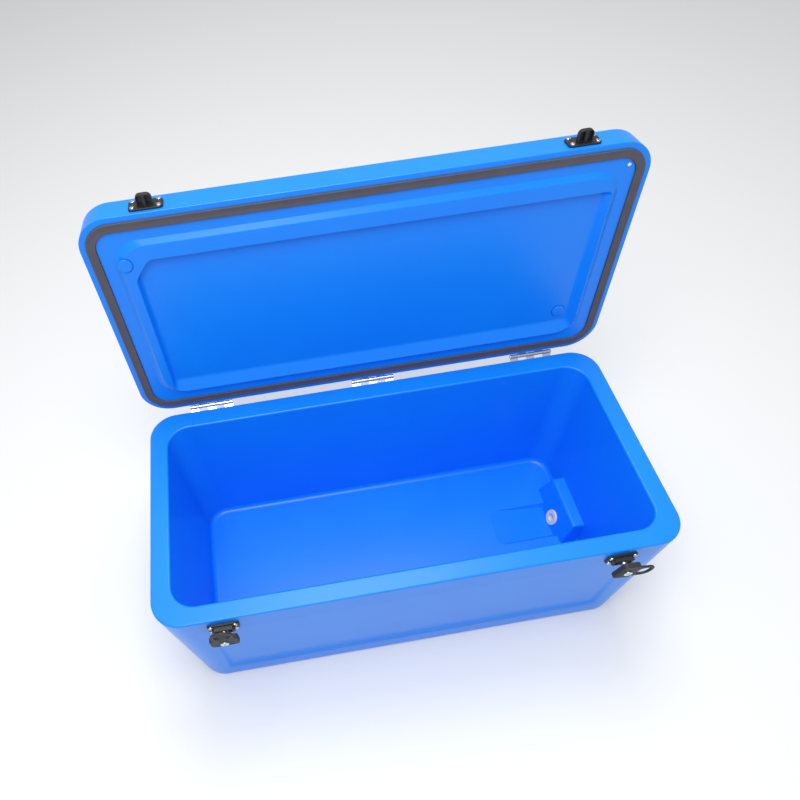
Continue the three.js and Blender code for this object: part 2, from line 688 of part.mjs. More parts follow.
function knuckles(owner) {
  const pitch = HINGE_LENGTH / KNUCKLE_COUNT;
  const parts = [];
  for (let k = 0; k < KNUCKLE_COUNT; k += 1) {
    if ((k % 2 === 0) === (owner === 'body')) {
      const x0 = -HINGE_LENGTH / 2 + k * pitch + 0.2;
      parts.push([x0, x0 + pitch - 0.4]);
    }
  }
  return parts;
}

function profileBody(points, x0, x1) {
  const drawn = new THREE.Shape(points.map(([y, z]) => new THREE.Vector2(y, z)));
  const geometry = new THREE.ExtrudeGeometry(drawn, { depth: x1 - x0, bevelEnabled: false });
  const axes = new THREE.Matrix4().makeBasis(
    new THREE.Vector3(0, 1, 0), new THREE.Vector3(0, 0, 1), new THREE.Vector3(1, 0, 0));
  geometry.applyMatrix4(moved(x0, 0, 0).multiply(axes));
  return solid(geometry);
}

function hingeLeaf(owner, x) {
  const isBody = owner === 'body';
  const faceAt = (z) => (isBody
    ? DEPTH / 2 - BODY_DRAFT * (BODY_HEIGHT - z)
    : LID_HALF_Y - LID_DRAFT * (z - LID_Z0)) + FIT;
  const near = isBody ? BODY_LEAF_TOP : LID_LEAF_LOW;
  const far = isBody ? near - BODY_LEAF_HEIGHT : near + LID_LEAF_HEIGHT;
  const plate = profileBody([
    [faceAt(near), near], [faceAt(near) + LEAF_THICK, near],
    [faceAt(far) + LEAF_THICK, far], [faceAt(far), far],
  ], x - HINGE_LENGTH / 2, x + HINGE_LENGTH / 2);
  let body = plate;
  const step = isBody ? -1 : 1;
  for (const [x0, x1] of knuckles(owner)) {
    const neck = profileBody([
      [faceAt(near), near], [faceAt(near) + LEAF_THICK, near],
      [HINGE_Y + (isBody ? 0.5 : -1), HINGE_Z + step * 2.6],
      [HINGE_Y - 3.2, HINGE_Z + step * 1.2],
    ], x + x0, x + x1);
    const barrel = bar([x + x0, HINGE_Y, HINGE_Z], [x + x1, HINGE_Y, HINGE_Z], KNUCKLE_R, 16);
    body = body.add(neck).add(barrel);
  }
  const bore = bar([x - 60, HINGE_Y, HINGE_Z], [x + 60, HINGE_Y, HINGE_Z], PIN_R + FIT, 14);
  body = body.subtract(bore);
  const frame = isBody ? leafFrame(x) : lidLeafFrame(x);
  for (const dx of leafScrews) {
    body = body.subtract(placed(bar([dx, -2, 0], [dx, 6, 0], SCREW_HOLE_R, 12), frame));
  }
  return body;
}

['left', 'middle', 'right'].forEach((name, index) => {
  const x = (index - 1) * HINGE_X;
  add(`hinge_${name}_body_leaf`, hingeLeaf('body', x), STEEL, 0.25, 1);
  add(`hinge_${name}_lid_leaf`, hingeLeaf('lid', x), STEEL, 0.25, 1, openLid);
  const pin = bar([x - HINGE_LENGTH / 2 - 1.2, HINGE_Y, HINGE_Z],
    [x + HINGE_LENGTH / 2 + 1.2, HINGE_Y, HINGE_Z], PIN_R, 14);
  add(`hinge_${name}_pin`, pin, STEEL, 0.25, 1);
  leafScrews.forEach((dx, k) => {
    const seat = moved(dx, LEAF_THICK + FIT + 0.2, 0).multiply(facingBack);
    add(`hinge_${name}_body_screw_${k + 1}`, screw(6), STEEL, 0.3, 1, leafFrame(x).multiply(seat));
    add(`hinge_${name}_lid_screw_${k + 1}`, screw(6), STEEL, 0.3, 1,
      openLid.clone().multiply(lidLeafFrame(x)).multiply(seat));
  });
});

// ---- keepers on the lid's front edge and latches under the rim ----
function mountingPlate() {
  const corners = rectangle(-PLATE_W / 2, PLATE_W / 2, -PLATE_H / 2, PLATE_H / 2);
  let plate = slab(roundedOutline(corners, 6, 4), -PLATE_T, -FIT);
  for (const [dx, dz] of plateScrews) {
    plate = plate.subtract(bar([dx, 3, dz], [dx, -PLATE_T - 3, dz], SCREW_HOLE_R, 12));
  }
  return plate;
}

// A hood that stands off the plate, open below in two pockets, for the strap's loop.
function keeper() {
  const corners = rectangle(-HOOD_HALF_W, HOOD_HALF_W, -HOOD_HEIGHT, HOOD_CORNER);
  const arch = loft([
    { z: HOOD_LOW, outline: roundedOutline(corners, HOOD_CORNER, 5) },
    { z: HOOD_HIGH, outline: roundedOutline(corners, HOOD_CORNER, 5) },
  ]);
  const hood = arch.subtract(block(-60, 60, -2, 60, -60, 60));
  const pocket = (x0, x1) => block(x0, x1, HOOD_WALL - HOOD_HEIGHT, -PLATE_T - 1,
    HOOD_LOW - 5, HOOD_HIGH - POCKET_BACK);
  return mountingPlate().add(hood)
    .subtract(pocket(-POCKET_OUTER, -POCKET_INNER))
    .subtract(pocket(POCKET_INNER, POCKET_OUTER));
}

// A housing with a cell on each side of the solid middle that the post screws into.
function latchBase() {
  const corners = rectangle(-HOUSING_HALF_W, HOUSING_HALF_W, -HOUSING_HALF_H, HOUSING_HALF_H);
  const housing = slab(roundedOutline(corners, 4, 4), -HOUSING_OUT, -2);
  const cell = (x0, x1) => block(x0, x1, -HOUSING_OUT - 5, -CELL_FLOOR, -CELL_HALF_H, CELL_HALF_H);
  const socket = bar([0, 4, 0], [0, -20, 0], POST_SPIGOT_R + FIT, 16);
  let base = mountingPlate().add(housing);
  for (const [dx, dz] of plateScrews) {
    base = base.subtract(bar([dx, -PLATE_T, dz], [dx, -30, dz], SCREW_HEAD_R + 1, 12));
  }
  return base
    .subtract(cell(-CELL_OUTER, -CELL_INNER))
    .subtract(cell(CELL_INNER, CELL_OUTER))
    .subtract(socket);
}

function latchPost() {
  const outer = STRAP_OUTER + 0.4;
  const post = turned([
    [0, 1], [POST_SPIGOT_R, 1], [POST_SPIGOT_R, HOUSING_OUT + FIT], [POST_R, HOUSING_OUT + FIT],
    [POST_R, STRAP_INNER - 0.4], [STRAP_PIVOT_R - 0.4, STRAP_INNER - 0.4], [STRAP_PIVOT_R - 0.4, outer],
    [POST_HEAD_R, outer], [POST_HEAD_R, outer + 1.5], [POST_HEAD_R - 2, outer + POST_HEAD_H],
    [0, outer + POST_HEAD_H],
  ], 20);
  return placed(post, facingFront);
}

// The rubber strap with its loop upwards, as it hooks over the keeper.
function strap() {
  const corners = rectangle(-STRAP_BLOCK_HALF_W, STRAP_BLOCK_HALF_W, -STRAP_BLOCK_HALF_L, STRAP_BLOCK_HALF_L);
  const grip = slab(roundedOutline(corners, 7, 4), -STRAP_OUTER, -STRAP_INNER);
  const loopCorners = rectangle(-LOOP_HALF_W, LOOP_HALF_W, 0, LOOP_TIP);
  const loop = slab(roundedOutline(loopCorners, LOOP_CORNER, 7), -STRAP_OUTER, -LOOP_INNER);
  const slotCorners = rectangle(-SLOT_HALF_W, SLOT_HALF_W, SLOT_START, SLOT_END);
  const slot = slab(roundedOutline(slotCorners, SLOT_CORNER, 6), -STRAP_OUTER - 10, -STRAP_INNER + 5);
  const hole = bar([0, -STRAP_OUTER - 10, 0], [0, -STRAP_INNER + 5, 0], STRAP_PIVOT_R, 20);
  return grip.add(loop).subtract(slot).subtract(hole);
}

const SIDES = [['left', -1], ['right', 1]];
for (const [name, side] of SIDES) {
  const onLid = openLid.clone().multiply(keeperFrame(side));
  const onBody = latchFrame(side);
  add(`keeper_${name}`, keeper(), NYLON, 0.45, 0, onLid);
  add(`latch_${name}_base`, latchBase(), NYLON, 0.45, 0, onBody);
  add(`latch_${name}_post`, latchPost(), STEEL, 0.35, 1, onBody);
  const swing = new THREE.Matrix4().makeRotationY(side > 0 ? THREE.MathUtils.degToRad(RIGHT_STRAP_TURN) : 0);
  add(`latch_${name}_strap`, strap(), RUBBER, 0.6, 0, onBody.clone().multiply(swing));
  plateScrews.forEach(([dx, dz], k) => {
    const seat = moved(dx, -PLATE_T - 0.2, dz).multiply(facingFront);
    add(`keeper_${name}_screw_${k + 1}`, screw(8), STEEL, 0.3, 1, onLid.clone().multiply(seat));
    add(`latch_${name}_screw_${k + 1}`, screw(8), STEEL, 0.3, 1, onBody.clone().multiply(seat));
  });
}

export default model;
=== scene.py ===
import math

import bmesh
import bpy
from mathutils import Matrix, Vector


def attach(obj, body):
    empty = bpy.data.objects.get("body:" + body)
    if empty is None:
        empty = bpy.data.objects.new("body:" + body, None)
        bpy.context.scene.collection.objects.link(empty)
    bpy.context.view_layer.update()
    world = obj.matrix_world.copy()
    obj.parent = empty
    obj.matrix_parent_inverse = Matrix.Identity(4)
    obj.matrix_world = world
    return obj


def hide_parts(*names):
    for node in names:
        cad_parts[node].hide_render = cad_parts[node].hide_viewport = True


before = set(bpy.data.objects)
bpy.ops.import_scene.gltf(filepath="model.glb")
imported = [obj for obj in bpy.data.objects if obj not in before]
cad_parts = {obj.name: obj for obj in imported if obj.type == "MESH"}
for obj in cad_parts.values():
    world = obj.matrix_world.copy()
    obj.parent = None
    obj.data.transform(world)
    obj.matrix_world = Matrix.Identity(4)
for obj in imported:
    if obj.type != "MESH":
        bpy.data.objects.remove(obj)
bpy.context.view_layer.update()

# ---- Body shell ----
# The box is one double-walled rotational moulding with the tub sunk into it. The flat rim takes
# the lid's seal, a sump and a sloping boss lead melt water to the drain in the right-hand end,
# and every edge is rounded so that it leaves the mould.
BODY_HALF_X = 0.500
BODY_HALF_Y = 0.240
BODY_TOP = 0.386
BODY_DRAFT = 0.053
BODY_CORNER = 0.057
BASE_EDGE = 0.010
RIM_EDGE = 0.004
TUB_HALF_X = 0.462
TUB_HALF_Y = 0.202
TUB_CENTRE_Y = -0.0025
TUB_DRAFT = 0.0744
TUB_CORNER = 0.046
TUB_FLOOR = 0.049
TUB_FILLET = 0.012
SUMP_LOW = Vector((0.262, -0.038, 0.037))
SUMP_HIGH = Vector((0.424, 0.038, 0.051))
SUMP_START = 0.250
BOSS_FOOT_X = 0.394
BOSS_SLOPE = 0.344
BOSS_TOP = 0.110
BOSS_CENTRE_Y = 0.0095
BOSS_HALF_Y = 0.078
BOSS_END_SLOPE = 0.19
PANEL_HALF_X = 0.402
PANEL_FOOT = 0.068
PANEL_HEAD = 0.324
PANEL_DEPTH = 0.005
PANEL_EDGE = 0.024
PANEL_CORNER = 0.036
PANEL_PROUD = 0.010
GRIP_LOW = Vector((-0.056, 0.272, -0.021))
GRIP_HIGH = Vector((0.056, 0.308, 0.008))
DRAIN_Z = 0.057
DRAIN_HOLE_R = 0.0123
FILL_X = 0.300
FILL_HOLE_R = 0.020
FILL_HOLE_DEPTH = 0.0026


def alone(piece):
    """Selects one piece and makes it the active one."""
    bpy.ops.object.select_all(action="DESELECT")
    piece.select_set(True)
    bpy.context.view_layer.objects.active = piece


def pick(piece, kind, wanted):
    """Opens a piece for shaping and selects its points, edges or faces that pass a test."""
    if bpy.context.mode != "EDIT_MESH":
        alone(piece)
        bpy.ops.object.mode_set(mode="EDIT")
    bpy.ops.mesh.select_mode(type=kind)
    bpy.ops.mesh.select_all(action="DESELECT")
    mesh = bmesh.from_edit_mesh(piece.data)
    for part in {"VERT": mesh.verts, "EDGE": mesh.edges, "FACE": mesh.faces}[kind]:
        if wanted(part):
            part.select_set(True)
    mesh.select_flush_mode()
    bmesh.update_edit_mesh(piece.data, loop_triangles=False, destructive=False)


def shut(piece):
    """Ends the shaping of a piece."""
    bpy.ops.object.mode_set(mode="OBJECT")
    return piece


def middle(edge):
    return (edge.verts[0].co + edge.verts[1].co) / 2


def along(edge, axis):
    """Whether an edge runs mostly along one axis."""
    run = edge.verts[1].co - edge.verts[0].co
    return abs(run[axis]) > 0.3 * run.length


def square(edge):
    """Whether the two faces at an edge meet nearly at a right angle."""
    return edge.calc_face_angle(0) > 1


def round_edges(piece, radius, steps, wanted):
    """Rounds the edges of a piece that pass a test."""
    pick(piece, "EDGE", wanted)
    bpy.ops.mesh.bevel(offset=radius, segments=steps, affect="EDGES", clamp_overlap=True)
    return shut(piece)


def place(piece, matrix):
    """Moves a piece's mesh to its place, and leaves its object at the origin."""
    alone(piece)
    piece.matrix_world = matrix
    bpy.ops.object.transform_apply(location=True, rotation=True, scale=True)
    return piece


def block(name, low, high, spread=(0, 0), corner=0, steps=8, axis=2):
    """A block between two corners. Its top may be wider and its edges along one axis rounded."""
    low = Vector(low)
    high = Vector(high)
    size = high - low
    bpy.ops.object.select_all(action="DESELECT")
    bpy.ops.mesh.primitive_cube_add(size=1, location=(low + high) / 2, scale=size)
    piece = bpy.context.active_object
    piece.name = piece.data.name = name
    bpy.ops.object.transform_apply(location=True, rotation=True, scale=True)
    if any(spread):
        pick(piece, "FACE", lambda face: face.normal.z > 0.9)
        wide = (1 + 2 * spread[0] / size.x, 1 + 2 * spread[1] / size.y, 1)
        top_centre = ((low.x + high.x) / 2, (low.y + high.y) / 2, high.z)
        bpy.ops.transform.resize(value=wide, center_override=top_centre)
        shut(piece)
    if corner:
        round_edges(piece, corner, steps, lambda edge: along(edge, axis))
    return piece


def rod(name, start, length, radius, axis=2, sides=32):
    """A round bar from a point along an axis."""
    turn = [(0, math.pi / 2, 0), (-math.pi / 2, 0, 0), (0, 0, 0)][axis]
    middle_point = Vector(start)
    middle_point[axis] += length / 2
    bpy.ops.object.select_all(action="DESELECT")
    bpy.ops.mesh.primitive_cylinder_add(
        vertices=sides, radius=radius, depth=abs(length), location=middle_point, rotation=turn)
    piece = bpy.context.active_object
    piece.name = piece.data.name = name
    bpy.ops.object.transform_apply(location=True, rotation=True, scale=True)
    return piece


def work(piece, tool, how="DIFFERENCE"):
    """Cuts a tool's shape out of a piece, or joins it on, and throws the tool away."""
    alone(piece)
    change = piece.modifiers.new("work", "BOOLEAN")
    change.operation = how
    change.solver = "EXACT"
    change.object = tool
    bpy.ops.object.modifier_apply(modifier=change.name)
    bpy.data.objects.remove(tool)
    return piece


def on_level(z, slack=0.0003):
    """A test for sharp edges that lie at one height."""
    return lambda edge: (all(abs(point.co.z - z) < slack for point in edge.verts)
                         and edge.calc_face_angle(0) > 0.3)


def fit(piece, material, body, slot, *nodes, sharp=38):
    """Smooths a finished piece, gives it its material and hangs it on its body for its CAD nodes."""
    alone(piece)
    bpy.ops.object.shade_smooth_by_angle(angle=math.radians(sharp))
    weights = piece.modifiers.new("weights", "WEIGHTED_NORMAL")
    weights.keep_sharp = True
    bpy.ops.object.modifier_apply(modifier=weights.name)
    piece.data.materials.clear()
    piece.data.materials.append(material)
    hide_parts(*nodes)
    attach(piece, body)


foot = BODY_DRAFT * BODY_TOP
body_shell = block("moulded_body", (foot - BODY_HALF_X, foot - BODY_HALF_Y, 0),
                   (BODY_HALF_X - foot, BODY_HALF_Y - foot, BODY_TOP), (foot, foot), BODY_CORNER, 16)
round_edges(body_shell, BASE_EDGE, 5, on_level(0))
round_edges(body_shell, RIM_EDGE, 4, on_level(BODY_TOP))

tub_rise = 0.02
tub_shrink = TUB_DRAFT * (BODY_TOP - TUB_FLOOR)
tub_spread = TUB_DRAFT * (BODY_TOP + tub_rise - TUB_FLOOR)
tub = block("tub", (tub_shrink - TUB_HALF_X, TUB_CENTRE_Y + tub_shrink - TUB_HALF_Y, TUB_FLOOR),
            (TUB_HALF_X - tub_shrink, TUB_CENTRE_Y + TUB_HALF_Y - tub_shrink, BODY_TOP + tub_rise),
            (tub_spread, tub_spread), TUB_CORNER, 14)
round_edges(tub, TUB_FILLET, 8, on_level(TUB_FLOOR))
sump = block("sump", SUMP_LOW, SUMP_HIGH, (0.012, 0.009), 0.013, 4)
fall = math.atan((TUB_FLOOR - SUMP_LOW.z) / (BOSS_FOOT_X - SUMP_START))
pick(sump, "FACE", lambda face: True)
bpy.ops.mesh.bisect(plane_co=(SUMP_START, 0, TUB_FLOOR), plane_no=(-math.sin(fall), 0, -math.cos(fall)),
                    use_fill=True, clear_outer=True)
shut(sump)
round_edges(sump, 0.003, 3, lambda edge: middle(edge).z < TUB_FLOOR - 0.0005
            and edge.calc_face_angle(0) > 0.5 and not along(edge, 2))
work(tub, sump, "UNION")

boss_deep = 0.016
boss_base = TUB_FLOOR - boss_deep
boss = block("boss", (BOSS_FOOT_X - BOSS_SLOPE * boss_deep, BOSS_CENTRE_Y - BOSS_HALF_Y, boss_base),
             (0.480, BOSS_CENTRE_Y + BOSS_HALF_Y, BOSS_TOP))
pick(boss, "VERT", lambda point: point.co.z > 0.1 and point.co.x < 0.45)
bpy.ops.transform.translate(value=(BOSS_SLOPE * (BOSS_TOP - boss_base), 0, 0))
for side in (-1, 1):
    pick(boss, "VERT", lambda point: point.co.z > 0.1 and side * (point.co.y - BOSS_CENTRE_Y) > 0)
    bpy.ops.transform.translate(value=(0, -side * BOSS_END_SLOPE * (BOSS_TOP - TUB_FLOOR), 0))
shut(boss)
round_edges(boss, 0.005, 4, lambda edge: middle(edge).x < 0.47 and middle(edge).z > boss_base + 0.001)
work(tub, boss)
work(body_shell, tub)
round_edges(body_shell, RIM_EDGE, 4, lambda edge: on_level(BODY_TOP)(edge)
            and abs(middle(edge).x) < TUB_HALF_X + 0.002 and abs(middle(edge).y) < TUB_HALF_Y + 0.004)

lean = math.atan(BODY_DRAFT)
panel_half = (PANEL_HEAD - PANEL_FOOT) / 2
panel = block("panel", (-PANEL_HALF_X, -panel_half, -0.0002), (PANEL_HALF_X, panel_half, PANEL_PROUD),
              (PANEL_EDGE, PANEL_EDGE), PANEL_CORNER, 10)
round_edges(panel, 0.004, 4, on_level(-0.0002))
tilt = math.atan(PANEL_DEPTH / (2 * panel_half))
place(panel, Matrix.Translation((0, foot - BODY_HALF_Y, 0)) @ Matrix.Rotation(math.pi / 2 + lean, 4, "X")
      @ Matrix.Translation((0, PANEL_HEAD, 0)) @ Matrix.Rotation(tilt, 4, "X")
      @ Matrix.Translation((0, -panel_half, 0)))
work(body_shell, panel)

grip_z = (GRIP_LOW.y + GRIP_HIGH.y) / 2
grip_face = BODY_HALF_X - BODY_DRAFT * (BODY_TOP - grip_z)
for side in (-1, 1):
    grip = block("grip", GRIP_LOW, GRIP_HIGH, (0.008, 0.006))
    pick(grip, "FACE", lambda face: face.normal.z > 0.9)
    bpy.ops.transform.translate(value=(0, -0.004, 0))
    shut(grip)
    round_edges(grip, 0.013, 5, lambda edge: along(edge, 2))
    round_edges(grip, 0.005, 4, on_level(GRIP_LOW.z))
    place(grip, Matrix(((0, 0, side, side * grip_face), (side, 0, 0, 0), (0, 1, 0, 0), (0, 0, 0, 1))))
    work(body_shell, grip)
round_edges(body_shell, 0.002, 3, lambda edge: edge.calc_face_angle(0) > 0.5
            and abs(middle(edge).x) > grip_face - 0.006 and abs(middle(edge).y) < 0.066
            and 0.25 < middle(edge).z < 0.32)
work(body_shell, rod("hole", (0.36, 0, DRAIN_Z), 0.16, DRAIN_HOLE_R, 0))
for side in (-1, 1):
    work(body_shell, rod("hole", (side * FILL_X, 0, -0.002), FILL_HOLE_DEPTH + 0.002, FILL_HOLE_R))


def colour(code):
    """An sRGB hex colour as the linear value that a shader takes."""
    channels = [int(code[at:at + 2], 16) / 255 for at in (1, 3, 5)]
    linear = [c / 12.92 if c <= 0.04045 else ((c + 0.055) / 1.055) ** 2.4 for c in channels]
    return (*linear, 1)


def start(name, **values):
    """A new material with the values that hold all over its Principled shader."""
    material = bpy.data.materials.new(name)
    material.use_nodes = True
    shader = material.node_tree.nodes["Principled BSDF"]
    for socket, value in values.items():
        shader.inputs[socket.replace("_", " ")].default_value = value
    return material


def add(material, kind, settings, links):
    """Adds a shader node with its settings, and joins other nodes' outputs to its sockets."""
    node = material.node_tree.nodes.new(kind)
    for name, value in settings.items():
        if isinstance(name, int) or name in node.inputs:
            node.inputs[name].default_value = value
        else:
            setattr(node, name, value)
    for name, output in links.items():
        material.node_tree.links.new(output, node.inputs[name])
    return node


def feed(material, output, socket):
    """Joins a node's output to a socket of a material's Principled shader."""
    shader = material.node_tree.nodes["Principled BSDF"]
    material.node_tree.links.new(output, shader.inputs[socket])


def noise(material, spot, scale, **settings):
    """A noise texture, as the output that other nodes take."""
    return add(material, "ShaderNodeTexNoise", {"Scale": scale, **settings}, {"Vector": spot}).outputs["Fac"]


def two_tones(material, low, high, share):
    """Mixes two colours for the surface by a texture's output."""
    mix = add(material, "ShaderNodeMix", {"data_type": "RGBA", 6: colour(low), 7: colour(high)}, {0: share})
    feed(material, mix.outputs[2], "Base Color")


def relief(material, strength, depth, height):
    """Gives the surface a fine relief from a texture's output."""
    bump = add(material, "ShaderNodeBump", {"Strength": strength, "Distance": depth}, {"Height": height})
    feed(material, bump.outputs["Normal"], "Normal")


# Rotationally moulded polyethylene: smooth against the mould, so it has an even satin gloss with
# the slight orange peel of powder that has melted and flowed, and its pigment is a little uneven.
# The peel is about 1.5 mm across in the real skin and is drawn at 5 mm so that it shows.
blue = start("rotomoulded_polyethylene_blue", IOR=1.51, Specular_IOR_Level=0.34, Roughness=0.3)
spot = add(blue, "ShaderNodeTexCoord", {}, {}).outputs["Object"]
two_tones(blue, "#0e80f1", "#1189f5", noise(blue, spot, 9.0, Detail=3.0, Roughness=0.5))
relief(blue, 0.12, 0.0006, noise(blue, spot, 200.0, Detail=2.0, Roughness=0.4))
fit(body_shell, blue, "body", "moulded_blue", "body_shell")

# ---- Lid ----
# The lid is moulded like the body. Its underside has a raised plateau that drops into the tub's
# mouth, with a shallow recess in it whose back side slopes most and whose front left corner is
# cut off to leave room for a filling port. It is drawn shut and then swung open on the hinges.
LID_LOW = 0.390
LID_TOP = 0.446
LID_HALF_X = 0.502
LID_HALF_Y = 0.242
LID_DRAFT = 0.04
LID_CORNER = 0.060
PLATEAU_LOW = 0.382
PLATEAU_X = 0.4417
PLATEAU_Y0 = -0.184
PLATEAU_Y1 = 0.1857
PLATEAU_SPREAD = 0.0129
RECESS_ROOF = 0.394
RECESS_LOW = Vector((-0.425, -0.155))
RECESS_HIGH = Vector((0.440, 0.1845))
LEFT_FLANK = 0.006
RIGHT_FLANK = 0.015
FRONT_FLANK = 0.005
BACK_FLANK = 0.026
HINGE_Y = 0.248
HINGE_Z = 0.3898
LID_OPEN = math.radians(93.04)

hinge_line = Matrix.Translation((0, HINGE_Y, HINGE_Z))
opened = hinge_line @ Matrix.Rotation(-LID_OPEN, 4, "X") @ hinge_line.inverted()

narrow = LID_DRAFT * (LID_TOP - LID_LOW)
lid_shell = block("moulded_lid", (-LID_HALF_X, -LID_HALF_Y, LID_LOW), (LID_HALF_X, LID_HALF_Y, LID_TOP),
                  (-narrow, -narrow), LID_CORNER, 16)
round_edges(lid_shell, 0.008, 6, on_level(LID_TOP))
round_edges(lid_shell, 0.0018, 3, on_level(LID_LOW))

plateau = block("plateau", (-PLATEAU_X, PLATEAU_Y0, PLATEAU_LOW), (PLATEAU_X, PLATEAU_Y1, LID_LOW + 0.002),
                (PLATEAU_SPREAD, PLATEAU_SPREAD), 0.038, 12)
round_edges(plateau, 0.0016, 3, on_level(PLATEAU_LOW))
work(lid_shell, plateau, "UNION")
round_edges(lid_shell, 0.0016, 3, lambda edge: on_level(LID_LOW)(edge) and abs(middle(edge).x) < 0.46
            and abs(middle(edge).y) < 0.2)

recess_mouth = PLATEAU_LOW - 0.005
recess = block("recess", (RECESS_LOW.x + LEFT_FLANK, RECESS_LOW.y + FRONT_FLANK, recess_mouth),
               (RECESS_HIGH.x - RIGHT_FLANK, RECESS_HIGH.y - BACK_FLANK, RECESS_ROOF))
reach = (RECESS_ROOF - recess_mouth) / (RECESS_ROOF - PLATEAU_LOW)
flanks = ((0, -1, LEFT_FLANK), (0, 1, RIGHT_FLANK), (1, -1, FRONT_FLANK), (1, 1, BACK_FLANK))
for axis, side, slope in flanks:
    pick(recess, "VERT", lambda point: point.co.z < PLATEAU_LOW and side * point.co[axis] > 0.1)
    bpy.ops.transform.translate(value=[side * slope * reach if n == axis else 0 for n in range(3)])
pick(recess, "FACE", lambda face: True)
bpy.ops.mesh.bisect(plane_co=(RECESS_LOW.x + 0.031, RECESS_LOW.y, 0.385), plane_no=(-0.040, -0.031, 0),
                    use_fill=True, clear_outer=True)
shut(recess)
round_edges(recess, 0.007, 5, lambda edge: along(edge, 2))
round_edges(recess, 0.004, 4, on_level(RECESS_ROOF))
work(lid_shell, recess)
round_edges(lid_shell, 0.0035, 4, lambda edge: on_level(PLATEAU_LOW)(edge)
            and abs(middle(edge).x) < 0.4405 and -0.16 < middle(edge).y < 0.1848)

# Seal groove: a rounded ring, 17 mm wide, just inside the lip.
SEAL_INSET = 0.011
SEAL_WIDTH = 0.017
GROOVE_TOP = 0.392


def ring(name, inset, width, low, high):
    """A flat ring that follows the lid's edge, modelled from one inset face."""
    bpy.ops.object.select_all(action="DESELECT")
    bpy.ops.mesh.primitive_plane_add(size=1, location=(0, 0, low))
    piece = bpy.context.active_object
    piece.name = piece.data.name = name
    piece.scale = (2 * (LID_HALF_X - inset), 2 * (LID_HALF_Y - inset), 1)
    bpy.ops.object.transform_apply(location=True, rotation=True, scale=True)
    pick(piece, "VERT", lambda point: True)
    bpy.ops.mesh.bevel(offset=LID_CORNER - inset, segments=14, affect="VERTICES")
    pick(piece, "FACE", lambda face: True)
    bpy.ops.mesh.inset(thickness=width, depth=0)
    pick(piece, "FACE", lambda face: len(face.verts) > 8)
    bpy.ops.mesh.delete(type="FACE")
    pick(piece, "FACE", lambda face: True)
    bpy.ops.mesh.extrude_region_move(TRANSFORM_OT_translate={"value": (0, 0, high - low)})
    bpy.ops.mesh.select_all(action="SELECT")
    bpy.ops.mesh.normals_make_consistent(inside=False)
    return shut(piece)


work(lid_shell, ring("groove", SEAL_INSET, SEAL_WIDTH, LID_LOW - 0.002, GROOVE_TOP))
PORTS = (("left", -0.435, -0.1505, PLATEAU_LOW), ("right", 0.403, 0.1305, RECESS_ROOF))
COUNTERSINK_R = 0.0149
for name, x, y, z in PORTS:
    work(lid_shell, rod("countersink", (x, y, z - 0.002), 0.0031, COUNTERSINK_R, 2, 40))
place(lid_shell, opened)
fit(lid_shell, blue, "lid", "moulded_blue", "lid_shell")

# ---- Lid seal ----
# A soft grey rubber gasket pressed into the groove. It is extruded as a strip and joined into a
# ring, so it has a rounded face with a shallow channel along its middle.
SEAL_LOW = 0.3863
seal = ring("rubber_seal", SEAL_INSET + 0.0003, SEAL_WIDTH - 0.0006, SEAL_LOW, GROOVE_TOP - 0.0002)
pick(seal, "FACE", lambda face: face.normal.z < -0.9)
bpy.ops.mesh.inset(thickness=0.0066, depth=0)
bpy.ops.transform.translate(value=(0, 0, 0.0008))
shut(seal)
round_edges(seal, 0.0014, 3, lambda edge: on_level(SEAL_LOW)(edge) and square(edge))
place(seal, opened)


def uneven_gloss(material, low, high, share):
    """Varies the roughness between two values by a texture's output."""
    spread = add(material, "ShaderNodeMapRange", {"To Min": low, "To Max": high}, {"Value": share})
    feed(material, spread.outputs["Result"], "Roughness")


# Grey thermoplastic rubber: matt, with a fine dusty skin that lightens it in patches.
rubber_grey = start("seal_rubber_grey", IOR=1.5)
spot = add(rubber_grey, "ShaderNodeTexCoord", {}, {}).outputs["Object"]
dust = noise(rubber_grey, spot, 40.0, Detail=5.0, Roughness=0.6)
two_tones(rubber_grey, "#47454b", "#5b5860", dust)
uneven_gloss(rubber_grey, 0.62, 0.8, dust)
relief(rubber_grey, 0.15, 0.0003, noise(rubber_grey, spot, 700.0, Detail=2.0))
fit(seal, rubber_grey, "lid", "seal_rubber", "lid_seal")

# ---- Filling plugs and vent ----
# The walls are foamed through round ports, which pressed-in plugs of the same plastic close: two
# flat ones under the body and two low domed buttons under the lid. A tiny white plug at the lid's
# front right corner closes the hole that let air out of the mould.


def button(name, radius, height, stem_radius, stem_length):
    """A low domed button with a stem, its dome upwards."""
    piece = rod(name, (0, 0, 0), height, radius, 2, 40)
    pick(piece, "EDGE", lambda edge: on_level(height)(edge))
    bpy.ops.mesh.bevel(offset=height * 0.8, segments=5, affect="EDGES")
    pick(piece, "FACE", lambda face: face.normal.z > 0.99)
    bpy.ops.mesh.inset(thickness=radius * 0.35, depth=0)
    bpy.ops.transform.translate(value=(0, 0, height * 0.08))
    bpy.ops.mesh.inset(thickness=radius * 0.2, depth=0)
    bpy.ops.transform.translate(value=(0, 0, -height * 0.12))
    pick(piece, "FACE", lambda face: face.normal.z < -0.9)
    bpy.ops.mesh.inset(thickness=radius - stem_radius, depth=0)
    bpy.ops.mesh.extrude_region_move(TRANSFORM_OT_translate={"value": (0, 0, -stem_length)})
    return shut(piece)


